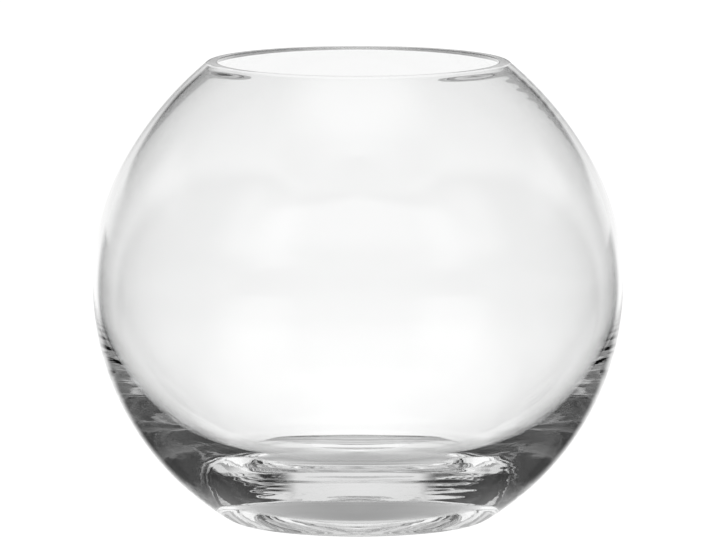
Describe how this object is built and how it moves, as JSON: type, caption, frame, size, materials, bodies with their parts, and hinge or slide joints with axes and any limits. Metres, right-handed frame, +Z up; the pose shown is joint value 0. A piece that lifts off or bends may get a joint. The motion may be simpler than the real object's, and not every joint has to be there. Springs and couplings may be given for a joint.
{
  "type": "rose bowl vase",
  "caption": "Nearly round vase of clear glass with a wide ground mouth, a thin even wall and a thick solid base ground to a flat foot.",
  "frame": {"origin": "middle of the flat foot that the bowl stands on", "axes": "+Z up along the bowl's axis of revolution; +X and +Y are any two level directions at right angles"},
  "size_m": [0.201, 0.201, 0.1747],
  "materials": {
    "clear_glass": "polished, colourless, fire-polished wall with a ground and polished rim and foot"
  },
  "bodies": {
    "root": {"glass_bowl": "clear_glass"}
  },
  "joints": []
}
